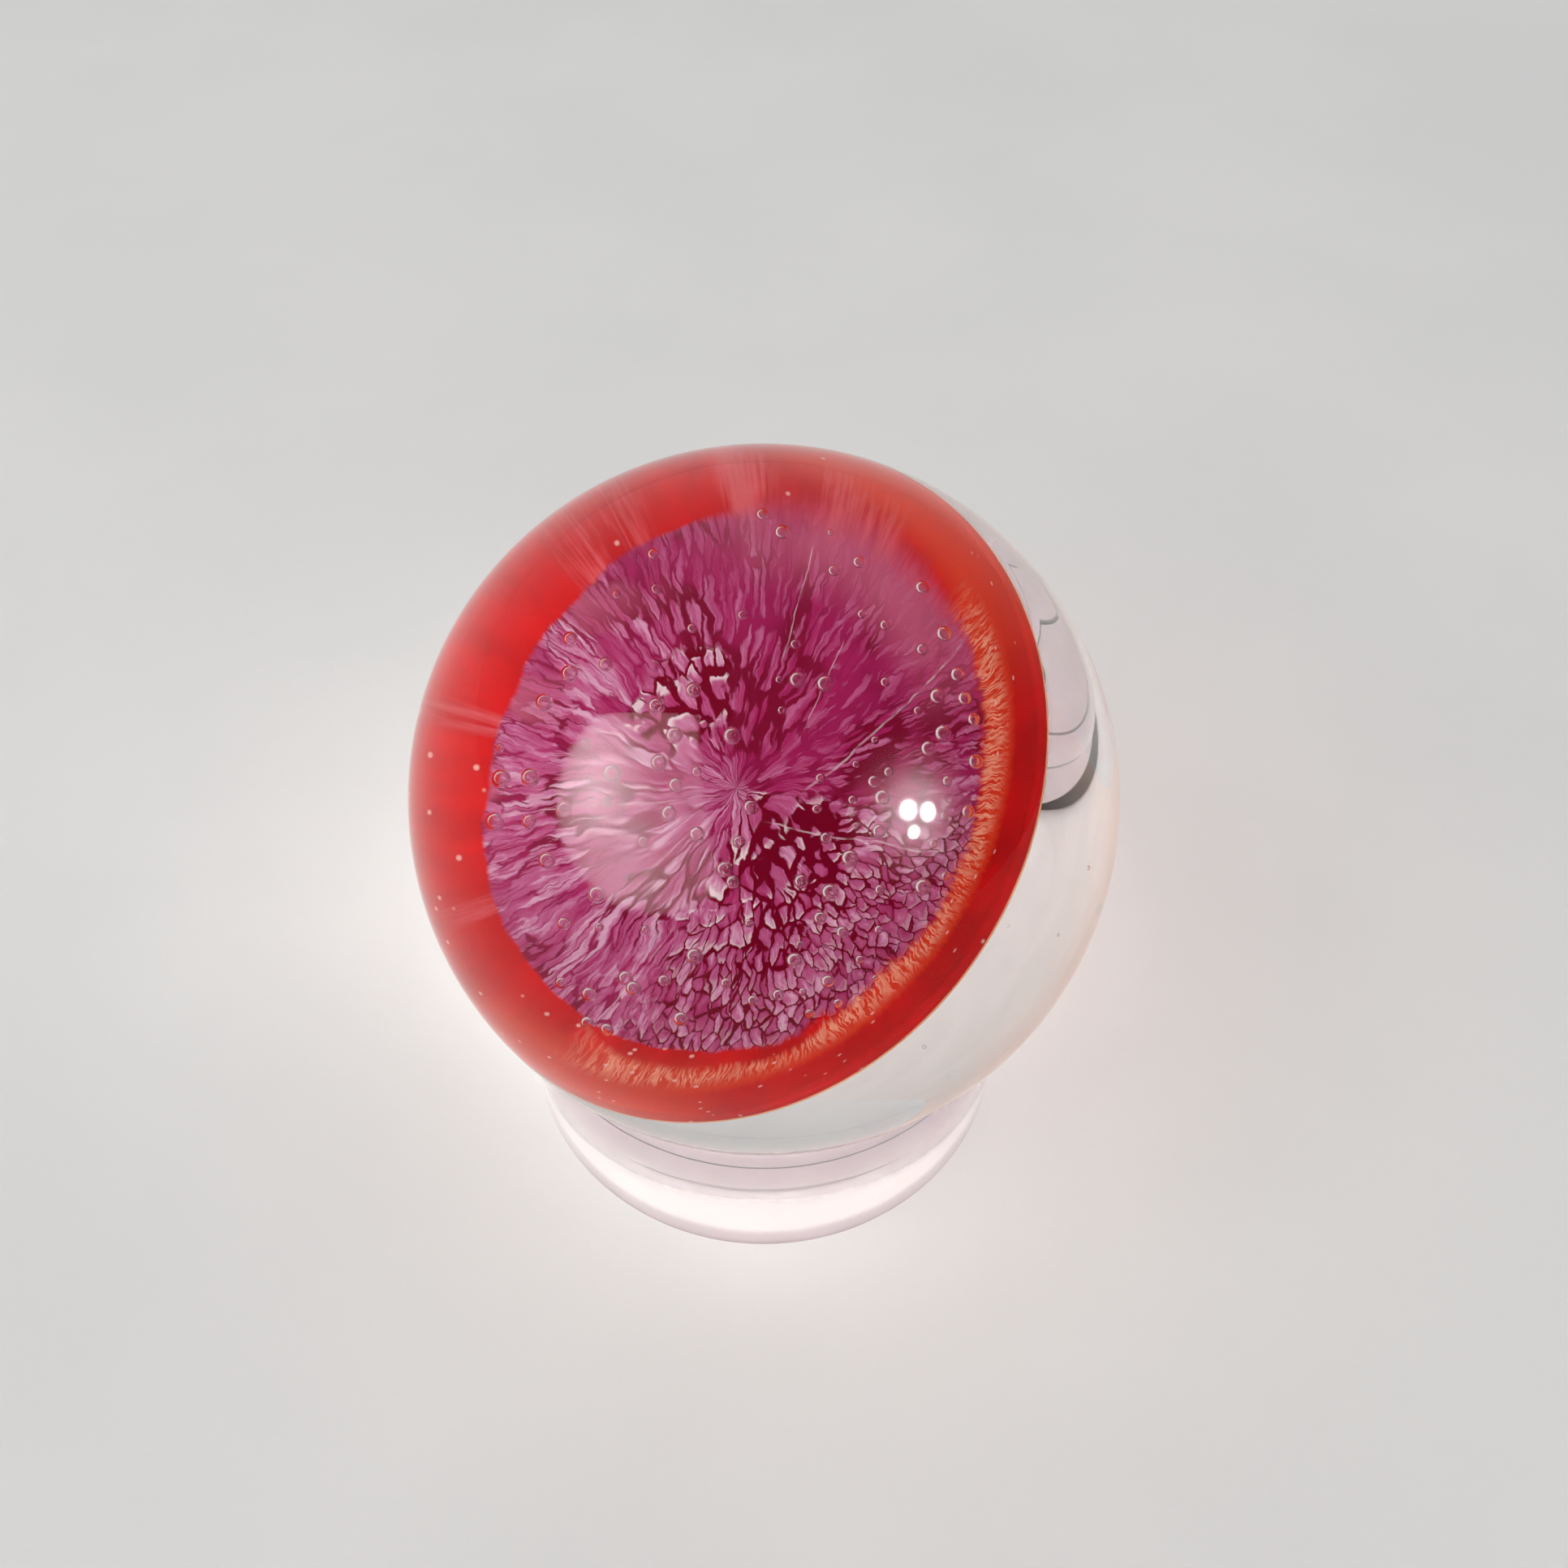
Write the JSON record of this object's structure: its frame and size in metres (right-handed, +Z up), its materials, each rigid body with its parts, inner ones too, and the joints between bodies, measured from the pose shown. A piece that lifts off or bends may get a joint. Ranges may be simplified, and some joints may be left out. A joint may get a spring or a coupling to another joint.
{
  "type": "glass paperweight",
  "caption": "Clear studio-glass ball paperweight with a red and lilac crackled bowl of coloured glass sealed inside, resting loose on a short clear ring stand.",
  "frame": {"origin": "middle of the ring stand's base, on the surface it stands on", "axes": "+Z up through the ball's centre, -Y towards the viewer; the coloured bowl's pole leans 34 degrees from +Z towards -X and -Y"},
  "size_m": [0.08, 0.08, 0.0921],
  "materials": {
    "ring_clear": "gloss",
    "base_clear": "gloss",
    "opal": "satin",
    "red": "gloss",
    "orange": "gloss",
    "crimson": "gloss",
    "lilac": "satin",
    "dome_clear": "gloss"
  },
  "bodies": {
    "stand": {"ring_stand": "ring_clear"},
    "orb": {"clear_base": "base_clear", "opal_lining": "opal", "red_cup": "red", "orange_fringe": "orange", "crimson_ground": "crimson", "lilac_crackle": "lilac", "clear_dome": "dome_clear"}
  },
  "joints": [
    {"name": "orb_lift", "type": "slide", "parent": "stand", "child": "orb", "axis": [0, 0, 1], "range_m": [0, 0.06]}
  ]
}
